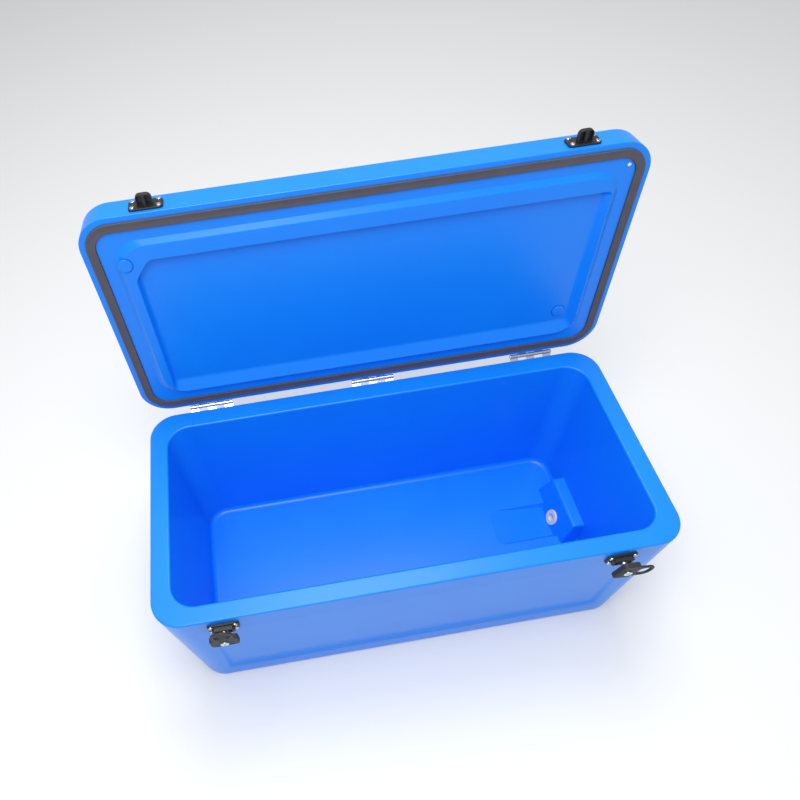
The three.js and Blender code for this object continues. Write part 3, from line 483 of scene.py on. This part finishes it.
flip = Matrix.Rotation(math.pi, 4, "X")
for name, x, y, z in PORTS:
    plug = button(f"lid_port_button_{name}", 0.0134, 0.0023, 0.0106, 0.009)
    place(plug, opened @ Matrix.Translation((x, y, z - 0.0003)) @ flip)
    fit(plug, blue, "lid", "moulded_blue", f"lid_fill_plug_{name}")
for name, side in (("left", -1), ("right", 1)):
    plug = button(f"body_port_button_{name}", 0.0194, 0.0018, 0.0126, 0.009)
    place(plug, Matrix.Translation((side * FILL_X, 0, 0.0022)) @ flip)
    fit(plug, blue, "body", "moulded_blue", f"body_fill_plug_{name}")

# White polypropylene: opaque and satin, faintly yellow, with a light tea-coloured water stain.
white = start("polypropylene_white", IOR=1.49)
spot = add(white, "ShaderNodeTexCoord", {}, {}).outputs["Object"]
stain = noise(white, spot, 120.0, Detail=4.0)
two_tones(white, "#eeeee9", "#d9d3c4", stain)
uneven_gloss(white, 0.34, 0.5, stain)
vent = button("vent_plug", 0.0034, 0.0009, 0.0023, 0.0026)
place(vent, opened @ Matrix.Translation((0.460, -0.199, LID_LOW - 0.0003)) @ flip)
fit(vent, white, "lid", "white_plastic", "lid_vent_plug")

# ---- Screws ----
# Pan head screws in A2 stainless steel with a cross recess, turned and polished. They hold the
# plates of the catches and the leaves of the hinges.
SCREW_HEAD_R = 0.0042
SCREW_HEAD_H = 0.0026

# Stainless steel: polished, with fine turning and rolling lines that run along the box.
steel = start("stainless_steel_polished", Metallic=1.0)
spot = add(steel, "ShaderNodeTexCoord", {}, {}).outputs["Object"]
stretch = add(steel, "ShaderNodeMapping", {"Scale": (0.04, 1.0, 1.0)}, {"Vector": spot}).outputs["Vector"]
brush = noise(steel, stretch, 1500.0, Detail=3.0)
two_tones(steel, "#c9ccd0", "#e4e6e8", brush)
uneven_gloss(steel, 0.18, 0.34, brush)

pattern_screw = rod("screw", (0, 0, 0), SCREW_HEAD_H, SCREW_HEAD_R, 2, 24)
pick(pattern_screw, "EDGE", on_level(SCREW_HEAD_H))
bpy.ops.mesh.bevel(offset=0.0015, segments=4, affect="EDGES")
pick(pattern_screw, "FACE", lambda face: face.normal.z < -0.9)
bpy.ops.mesh.inset(thickness=0.0022, depth=0)
bpy.ops.mesh.extrude_region_move(TRANSFORM_OT_translate={"value": (0, 0, -0.005)})
shut(pattern_screw)
for turn in (0, math.pi / 2):
    slot = block("slot", (-0.0005, -0.0024, 0.0012), (0.0005, 0.0024, 0.003))
    place(slot, Matrix.Rotation(turn, 4, "Z"))
    work(pattern_screw, slot)


def copy_of(pattern, name, matrix):
    """A copy of a finished pattern, with its own mesh, at its place."""
    piece = pattern.copy()
    piece.data = pattern.data.copy()
    piece.name = piece.data.name = name
    bpy.context.scene.collection.objects.link(piece)
    return place(piece, matrix)


def screw(node, matrix, body):
    piece = copy_of(pattern_screw, f"{node}_pan_head", matrix)
    fit(piece, steel, body, "stainless_steel", node, sharp=30)


# ---- Hinges ----
# Three butt hinges pressed from stainless sheet: a leaf on the body's back face and one on the
# lid's, with five rolled knuckles on a pin whose ends are peened over.
HINGE_X = 0.362
HINGE_LENGTH = 0.094
KNUCKLE_R = 0.0046
PIN_R = 0.0023
LEAF_THICK = 0.002
LEAF_GAP = 0.0003
BODY_LEAF = (0.380, 0.340)
LID_LEAF = (0.395, 0.429)
LEAF_SCREW_X = 0.030
SCREW_HOLE_R = 0.0026
KNUCKLES = 5
KNUCKLE_GAP = 0.0002
PIN_LENGTH = 0.0964
BODY_SCREW_Z = 0.354
LID_SCREW_Z = 0.417

to_back = Matrix.Rotation(-math.pi / 2, 4, "X")


def back_face(z, on_lid):
    """Where the body's or the lid's back face stands at a height."""
    if on_lid:
        return LID_HALF_Y - LID_DRAFT * (z - LID_LOW)
    return BODY_HALF_Y - BODY_DRAFT * (BODY_TOP - z)


def leaf(name, x, on_lid):
    """One hinge leaf, with its neck and its knuckles."""
    near, far = LID_LEAF if on_lid else BODY_LEAF
    screw_z = LID_SCREW_Z if on_lid else BODY_SCREW_Z
    tilt = math.atan(LID_DRAFT) if on_lid else -math.atan(BODY_DRAFT)
    seat = Matrix.Translation((x, back_face(screw_z, on_lid) + LEAF_GAP, screw_z))
    seat = seat @ Matrix.Rotation(tilt, 4, "X")
    piece = block(name, (-HINGE_LENGTH / 2, 0, min(near, far) - screw_z),
                  (HINGE_LENGTH / 2, LEAF_THICK, max(near, far) - screw_z))
    round_edges(piece, 0.004, 5, lambda edge: along(edge, 1) and abs(middle(edge).z - far + screw_z) < 0.001)
    round_edges(piece, 0.0004, 2, lambda edge: middle(edge).y > LEAF_THICK - 0.0001 and square(edge))
    for hole_x in (-LEAF_SCREW_X, LEAF_SCREW_X):
        work(piece, rod("hole", (hole_x, -0.001, 0), 0.004, SCREW_HOLE_R, 1, 20))
    place(piece, seat)
    pitch = HINGE_LENGTH / KNUCKLES
    for count in range(KNUCKLES):
        if (count % 2 == 1) == on_lid:
            x0 = x - HINGE_LENGTH / 2 + count * pitch + KNUCKLE_GAP
            knuckle = rod("knuckle", (x0, HINGE_Y, HINGE_Z), pitch - 2 * KNUCKLE_GAP, KNUCKLE_R, 0, 28)
            round_edges(knuckle, 0.0005, 2, lambda edge: not along(edge, 0))
            step = 1 if on_lid else -1
            wall = back_face(near, on_lid) + LEAF_GAP
            neck = block("neck", (x0, wall, 0), (x0 + pitch - 2 * KNUCKLE_GAP, HINGE_Y, LEAF_THICK))
            pick(neck, "VERT", lambda point: point.co.y < HINGE_Y - 0.001)
            bpy.ops.transform.translate(value=(0, 0, near - LEAF_THICK if on_lid else near))
            pick(neck, "VERT", lambda point: point.co.y >= HINGE_Y - 0.001)
            bpy.ops.transform.translate(value=(0, 0, HINGE_Z + step * 0.003 - 0.001))
            shut(neck)
            work(knuckle, neck, "UNION")
            work(piece, knuckle, "UNION")
    work(piece, rod("bore", (x - 0.06, HINGE_Y, HINGE_Z), 0.12, PIN_R + 0.0003, 0, 24))
    return piece


for name, x in (("left", -HINGE_X), ("middle", 0), ("right", HINGE_X)):
    body_leaf = leaf(f"hinge_{name}_leaf_on_body", x, False)
    fit(body_leaf, steel, "body", "stainless_steel", f"hinge_{name}_body_leaf")
    lid_leaf = place(leaf(f"hinge_{name}_leaf_on_lid", x, True), opened)
    fit(lid_leaf, steel, "lid", "stainless_steel", f"hinge_{name}_lid_leaf")
    pin = rod(f"hinge_{name}_peened_pin", (x - PIN_LENGTH / 2, HINGE_Y, HINGE_Z), PIN_LENGTH, PIN_R, 0, 24)
    round_edges(pin, 0.0009, 3, lambda edge: not along(edge, 0))
    fit(pin, steel, "body", "stainless_steel", f"hinge_{name}_pin")
    for count, dx in enumerate((-LEAF_SCREW_X, LEAF_SCREW_X), 1):
        head = Matrix.Translation((0, LEAF_GAP + LEAF_THICK, 0)) @ to_back
        body_seat = Matrix.Translation((x + dx, back_face(BODY_SCREW_Z, False), BODY_SCREW_Z))
        screw(f"hinge_{name}_body_screw_{count}", body_seat @ Matrix.Rotation(-lean, 4, "X") @ head, "body")
        lid_seat = Matrix.Translation((x + dx, back_face(LID_SCREW_Z, True), LID_SCREW_Z))
        screw(f"hinge_{name}_lid_screw_{count}",
              opened @ lid_seat @ Matrix.Rotation(math.atan(LID_DRAFT), 4, "X") @ head, "lid")

# ---- Keepers ----
# Black keepers on the lid's front edge, injection moulded in glass-filled nylon. Each is a plate
# on four screws with an arched hood for the latch strap, hollowed by two pockets that leave a
# rib down its middle.
LATCH_X = 0.374
KEEPER_Z = 0.411
PLATE_HALF_W = 0.029
PLATE_HALF_H = 0.0145
PLATE_T = 0.004
PLATE_GAP = 0.0003
SCREW_DX = 0.022
SCREW_DZ = 0.0096
HOOD_HALF_W = 0.0135
HOOD_HEIGHT = 0.0255
HOOD_LOW = -0.009
HOOD_HIGH = -0.001
POCKET_NEAR = 0.003
POCKET_FAR = 0.0113

# Glass-filled nylon: near black and satin, with the fine spark-eroded grain of its mould, which
# is 0.1 mm across in the real part and is drawn at 0.7 mm so that it shows.
nylon = start("glass_filled_nylon_black", IOR=1.53)
spot = add(nylon, "ShaderNodeTexCoord", {}, {}).outputs["Object"]
bloom = noise(nylon, spot, 90.0, Detail=3.0)
two_tones(nylon, "#141517", "#232427", bloom)
uneven_gloss(nylon, 0.38, 0.55, bloom)
relief(nylon, 0.2, 0.0002, noise(nylon, spot, 1400.0, Detail=2.0))

PLATE_SCREWS = [(dx, dz) for dx in (-SCREW_DX, SCREW_DX) for dz in (-SCREW_DZ, SCREW_DZ)]


def mounting_plate(name):
    """A plate on the front of a wall, with rounded corners and four screw holes."""
    piece = block(name, (-PLATE_HALF_W, -PLATE_T, -PLATE_HALF_H), (PLATE_HALF_W, -PLATE_GAP, PLATE_HALF_H),
                  corner=0.006, steps=6, axis=1)
    round_edges(piece, 0.0009, 3, lambda edge: middle(edge).y < 0.0001 - PLATE_T and square(edge))
    for dx, dz in PLATE_SCREWS:
        work(piece, rod("hole", (dx, 0.002, dz), -0.01, SCREW_HOLE_R, 1, 20))
    return piece


def keeper(name):
    """A keeper plate with its hood, which is open below in two pockets."""
    hood = block("hood", (-HOOD_HALF_W, -HOOD_HEIGHT, HOOD_LOW), (HOOD_HALF_W, -0.002, HOOD_HIGH))
    round_edges(hood, 0.0085, 10, lambda edge: along(edge, 2) and middle(edge).y < -0.02)
    round_edges(hood, 0.0009, 3, lambda edge: square(edge) and middle(edge).y < -0.003)
    for side in (-1, 1):
        x0, x1 = sorted((side * POCKET_NEAR, side * POCKET_FAR))
        work(hood, block("pocket", (x0, -0.023, HOOD_LOW - 0.005), (x1, -0.005, HOOD_HIGH - 0.002),
                         corner=0.002, steps=4))
    rib = block("rib", (-0.0024, -0.0235, HOOD_LOW - 0.0012), (0.0024, -0.003, HOOD_HIGH - 0.003))
    round_edges(rib, 0.0009, 3, lambda edge: square(edge) and middle(edge).z < HOOD_LOW)
    work(hood, rib, "UNION")
    return work(mounting_plate(name), hood, "UNION")


to_front = Matrix.Rotation(math.pi / 2, 4, "X")
SIDES = (("left", -1), ("right", 1))
for name, side in SIDES:
    keeper_face = LID_DRAFT * (KEEPER_Z - LID_LOW) - LID_HALF_Y
    seat = opened @ Matrix.Translation((side * LATCH_X, keeper_face, KEEPER_Z))
    seat = seat @ Matrix.Rotation(-math.atan(LID_DRAFT), 4, "X")
    fit(place(keeper(f"keeper_{name}_hooded"), seat), nylon, "lid", "black_nylon", f"keeper_{name}")
    for count, (dx, dz) in enumerate(PLATE_SCREWS, 1):
        on_plate = seat @ Matrix.Translation((dx, -PLATE_T, dz))
        screw(f"keeper_{name}_screw_{count}", on_plate @ to_front, "lid")

# ---- Latches ----
# Under the rim, each latch is a nylon plate with a housing and a turned steel post. A rubber
# strap turns on the post: a thick grip with a flat loop on it that stretches over the keeper's
# hood. The left strap stands straight up and the right one has been swung out sideways.
LATCH_Z = 0.354
HOUSING_OUT = 0.012
HOUSING_HALF_W = 0.021
HOUSING_HALF_H = 0.0095
CELL_NEAR = 0.0085
CELL_FAR = 0.016
CELL_HALF_H = 0.006
SPIGOT_R = 0.004
POST_R = 0.0065
POST_HEAD_R = 0.008
POST_HEAD_LONG = 0.003
STRAP_IN = 0.0215
STRAP_OUT = 0.0315
STRAP_HOLE_R = 0.005
GRIP_HALF_W = 0.026
GRIP_HALF_L = 0.018
LOOP_IN = 0.0272
LOOP_HALF_W = 0.020
LOOP_TIP = 0.053
SLOT_HALF_W = 0.014
SLOT_LOW = 0.021
SLOT_HIGH = 0.047
GROOVE_ROWS = (-0.0095, -0.0125, -0.0155)
RIGHT_STRAP_TURN = math.radians(102)

# Latch rubber: black EPDM, dull and faintly grey where it has been handled and has bloomed.
rubber = start("epdm_rubber_black", IOR=1.52)
spot = add(rubber, "ShaderNodeTexCoord", {}, {}).outputs["Object"]
bloom = noise(rubber, spot, 70.0, Detail=5.0, Roughness=0.6)
two_tones(rubber, "#1b1c1f", "#303136", bloom)
uneven_gloss(rubber, 0.5, 0.72, bloom)
relief(rubber, 0.2, 0.0003, noise(rubber, spot, 900.0, Detail=2.0))


def latch_base(name):
    """A latch plate with its housing, hollowed by a cell on each side of the post."""
    piece = mounting_plate(name)
    housing = block("housing", (-HOUSING_HALF_W, -HOUSING_OUT, -HOUSING_HALF_H),
                    (HOUSING_HALF_W, -0.002, HOUSING_HALF_H), corner=0.004, axis=1)
    round_edges(housing, 0.001, 3, lambda edge: middle(edge).y < 0.0001 - HOUSING_OUT
                and square(edge))
    for side in (-1, 1):
        x0, x1 = sorted((side * CELL_NEAR, side * CELL_FAR))
        work(housing, block("cell", (x0, -0.017, -CELL_HALF_H), (x1, -0.005, CELL_HALF_H),
                            corner=0.002, steps=4, axis=1))
    for dx, dz in PLATE_SCREWS:
        work(housing, rod("clearance", (dx, 0, dz), -0.03, SCREW_HEAD_R + 0.001, 1, 24))
    work(piece, housing, "UNION")
    return work(piece, rod("bore", (0, 0.004, 0), -0.024, SPIGOT_R + 0.0003, 1, 24))


def latch_post(name):
    """The turned post, its head drilled for a hexagon key."""
    shoulder = HOUSING_OUT + 0.0003
    piece = rod(name, (0, 0.001, 0), -(shoulder + 0.001), SPIGOT_R, 1, 36)
    shaft = rod("shaft", (0, -shoulder, 0), -(STRAP_IN - 0.0004 - shoulder), POST_R, 1, 36)
    round_edges(shaft, 0.0006, 2, lambda edge: not along(edge, 1))
    work(piece, shaft, "UNION")
    neck_start = STRAP_IN - 0.003
    neck = rod("neck", (0, -neck_start, 0), -(STRAP_OUT + 0.001 - neck_start), STRAP_HOLE_R - 0.0004, 1, 36)
    work(piece, neck, "UNION")
    head = rod("head", (0, -STRAP_OUT - 0.0004, 0), -POST_HEAD_LONG, POST_HEAD_R, 1, 36)
    round_edges(head, 0.0012, 4, lambda edge: middle(edge).y < -STRAP_OUT - 0.0033 and not along(edge, 1))
    work(head, rod("key", (0, -STRAP_OUT - 0.0018, 0), -0.004, 0.003, 1, 6))
    return work(piece, head, "UNION")


def latch_strap(name):
    """The rubber strap on the post, with its loop up and its grip grooved below."""
    piece = block(name, (-GRIP_HALF_W, -STRAP_OUT, -GRIP_HALF_L), (GRIP_HALF_W, -STRAP_IN, GRIP_HALF_L),
                  corner=0.007, steps=6, axis=1)
    round_edges(piece, 0.0018, 4, lambda edge: square(edge) and not along(edge, 1))
    loop = block("loop", (-LOOP_HALF_W, 0.0003 - STRAP_OUT, 0), (LOOP_HALF_W, -LOOP_IN, LOOP_TIP),
                 corner=0.017, steps=10, axis=1)
    round_edges(loop, 0.0014, 4, lambda edge: square(edge) and not along(edge, 1))
    work(piece, loop, "UNION")
    slot = block("slot", (-SLOT_HALF_W, -STRAP_OUT - 0.01, SLOT_LOW),
                 (SLOT_HALF_W, 0.005 - STRAP_IN, SLOT_HIGH), corner=0.011, steps=8, axis=1)
    work(piece, slot)
    work(piece, rod("hole", (0, 0, 0), -0.06, STRAP_HOLE_R, 1, 36))
    for z in GROOVE_ROWS:
        work(piece, rod("groove", (-0.017, -STRAP_OUT - 0.0004, z), 0.034, 0.0011, 0, 16))
    return round_edges(piece, 0.0007, 3, lambda edge: square(edge) and not along(edge, 1)
                       and abs(middle(edge).x) < SLOT_HALF_W + 0.0002
                       and SLOT_LOW - 0.0002 < middle(edge).z < SLOT_HIGH + 0.0002)


for name, side in SIDES:
    latch_face = BODY_DRAFT * (BODY_TOP - LATCH_Z) - BODY_HALF_Y
    seat = Matrix.Translation((side * LATCH_X, latch_face, LATCH_Z)) @ Matrix.Rotation(lean, 4, "X")
    base = place(latch_base(f"latch_{name}_housing"), seat)
    fit(base, nylon, "body", "black_nylon", f"latch_{name}_base")
    post = place(latch_post(f"latch_{name}_turned_post"), seat)
    fit(post, steel, "body", "stainless_steel", f"latch_{name}_post")
    swing = Matrix.Rotation(RIGHT_STRAP_TURN if side > 0 else 0, 4, "Y")
    strap = place(latch_strap(f"latch_{name}_rubber_strap"), seat @ swing)
    fit(strap, rubber, f"{name}_strap", "latch_rubber", f"latch_{name}_strap")
    for count, (dx, dz) in enumerate(PLATE_SCREWS, 1):
        on_plate = seat @ Matrix.Translation((dx, -PLATE_T, dz))
        screw(f"latch_{name}_screw_{count}", on_plate @ to_front, "body")
bpy.data.objects.remove(pattern_screw)

# ---- Drain ----
# A white tube runs from the boss in the tub, where an oblique flange seals it, to a black socket
# on the end wall. A bung with a finger wing and a fluted rim closes the socket from outside.
FLANGE_R = 0.0185
TUBE_R = 0.012
BORE_R = 0.009
SOCKET_R = 0.024
BUNG_R = 0.019
STEM_R = 0.0086
WING_HALF_Y = 0.016
WING_HALF_Z = 0.003
drain_face = BOSS_FOOT_X + BOSS_SLOPE * (DRAIN_Z - TUB_FLOOR)
end_face = BODY_HALF_X - BODY_DRAFT * (BODY_TOP - DRAIN_Z)
face_normal = Vector((-1, 0, BOSS_SLOPE)).normalized()
on_face = Vector((drain_face, 0, DRAIN_Z))

tube = rod("drain_tube_flanged", (drain_face - 0.02, 0, DRAIN_Z), 0.04, FLANGE_R, 0, 48)
for off, keep in ((0.0032, 1), (0.0003, -1)):
    pick(tube, "FACE", lambda face: True)
    bpy.ops.mesh.bisect(plane_co=on_face + face_normal * off, plane_no=face_normal * keep,
                        use_fill=True, clear_outer=True)
shut(tube)
round_edges(tube, 0.001, 3, lambda edge: edge.calc_face_angle(0) > 0.9
            and (middle(edge) - on_face).dot(face_normal) > 0.0030)
sleeve_start = drain_face - 0.008
sleeve = rod("sleeve", (sleeve_start, 0, DRAIN_Z), end_face + 0.005 - sleeve_start, TUBE_R, 0, 48)
pick(sleeve, "FACE", lambda face: True)
bpy.ops.mesh.bisect(plane_co=on_face + face_normal * 0.0015, plane_no=face_normal,
                    use_fill=True, clear_outer=True)
shut(sleeve)
work(tube, sleeve, "UNION")
work(tube, rod("bore", (drain_face - 0.03, 0, DRAIN_Z), end_face + 0.05 - drain_face, BORE_R, 0, 48))
fit(tube, white, "body", "white_plastic", "drain_tube")

socket = rod("drain_socket_ring", (end_face - 0.002, 0, DRAIN_Z), 0.009, SOCKET_R, 0, 48)
round_edges(socket, 0.0026, 3, lambda edge: middle(edge).x > end_face + 0.0065 and not along(edge, 0))
pick(socket, "FACE", lambda face: True)
bpy.ops.mesh.bisect(plane_co=(end_face + 0.0003, 0, DRAIN_Z), plane_no=(-1, 0, BODY_DRAFT),
                    use_fill=True, clear_outer=True)
shut(socket)
work(socket, rod("bore", (end_face - 0.02, 0, DRAIN_Z), 0.05, TUBE_R + 0.0003, 0, 48))
fit(socket, nylon, "body", "black_nylon", "drain_socket")

cap_start = end_face + 0.0074
bung = rod("drain_bung_winged", (cap_start, 0, DRAIN_Z), 0.009, BUNG_R, 0, 48)
pick(bung, "FACE", lambda face: abs(face.normal.x) < 0.1
     and math.floor((math.atan2(face.normal.z, face.normal.y) + 2 * math.pi) / (math.pi / 24)) % 2 == 0)
bpy.ops.mesh.inset(thickness=0.0004, depth=-0.0006, use_individual=True)
shut(bung)
round_edges(bung, 0.0012, 2, lambda edge: middle(edge).x > cap_start + 0.0089 and square(edge))
wing = block("wing", (cap_start + 0.008, -WING_HALF_Y, DRAIN_Z - WING_HALF_Z),
             (cap_start + 0.019, WING_HALF_Y, DRAIN_Z + WING_HALF_Z))
round_edges(wing, 0.006, 5, lambda edge: along(edge, 2) and middle(edge).x > cap_start + 0.018)
round_edges(wing, 0.0012, 3, lambda edge: square(edge) and middle(edge).x > cap_start + 0.0085)
work(bung, wing, "UNION")
stem = rod("stem", (end_face - 0.022, 0, DRAIN_Z), 0.0304, STEM_R, 0, 36)
round_edges(stem, 0.001, 2, lambda edge: middle(edge).x < end_face - 0.0215 and not along(edge, 0))
work(bung, stem, "UNION")
fit(bung, nylon, "bung", "black_nylon", "drain_bung")

# ---- Foam ----
# Rigid polyurethane foam poured between the walls of the body and the lid. It keeps the CAD
# shape and shows only where a part is cut open: cream, matt and full of fine closed cells,
# which are 0.4 mm across in real foam and are drawn at 2 mm.
foam = start("polyurethane_foam_rigid", IOR=1.45, Roughness=0.9)
spot = add(foam, "ShaderNodeTexCoord", {}, {}).outputs["Object"]
cells = add(foam, "ShaderNodeTexVoronoi", {"Scale": 500.0}, {"Vector": spot}).outputs["Distance"]
two_tones(foam, "#efe3c4", "#d8c69c", cells)
relief(foam, 0.4, 0.0005, cells)
for node in ("body_foam", "lid_foam"):
    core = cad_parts[node]
    core.data.materials.clear()
    core.data.materials.append(foam)

# ---- Studio ----
# A plain pale floor and surround, a large soft light high over the front edge, so that it only
# grazes the front face, and one high behind the lid. The camera is above the front left.
bpy.ops.object.select_all(action="DESELECT")
bpy.ops.mesh.primitive_plane_add(size=14, location=(0, 0, 0))
floor = bpy.context.active_object
floor.name = floor.data.name = "studio_floor"
paper = start("paper_floor", Base_Color=colour("#efefee"), Roughness=0.9)
floor.data.materials.append(paper)

world = bpy.data.worlds.new("studio_air")
world.use_nodes = True
world.node_tree.nodes["Background"].inputs["Color"].default_value = colour("#f4f7fb")
world.node_tree.nodes["Background"].inputs["Strength"].default_value = 0.56
bpy.context.scene.world = world
bpy.context.scene.view_settings.view_transform = "Standard"


def softbox(name, place_at, aim, size, power, tint):
    """A large square light that faces a point."""
    data = bpy.data.lights.new(name, "AREA")
    data.shape = "SQUARE"
    data.size = size
    data.energy = power
    data.color = colour(tint)[:3]
    lamp = bpy.data.objects.new(name, data)
    bpy.context.scene.collection.objects.link(lamp)
    lamp.location = place_at
    lamp.rotation_euler = (Vector(aim) - Vector(place_at)).to_track_quat("-Z", "Y").to_euler()


softbox("key_light", (-0.35, -0.68, 2.6), (0, 0, 0.3), 1.4, 41, "#ffffff")
softbox("back_light", (0.1, 1.35, 4.2), (0, 0.3, 0), 1.8, 58, "#ffffff")

camera_data = bpy.data.cameras.new("camera")
camera_data.sensor_width = 36
camera_data.lens = 29.824
camera_data.shift_x = 0.0977
camera_data.shift_y = 0.0227
camera = bpy.data.objects.new("camera", camera_data)
camera.location = (-0.1890, -0.6801, 1.5382)
camera.rotation_euler = [math.radians(angle) for angle in (36.214, 3.439, -8.820)]
bpy.context.scene.collection.objects.link(camera)
bpy.context.scene.camera = camera
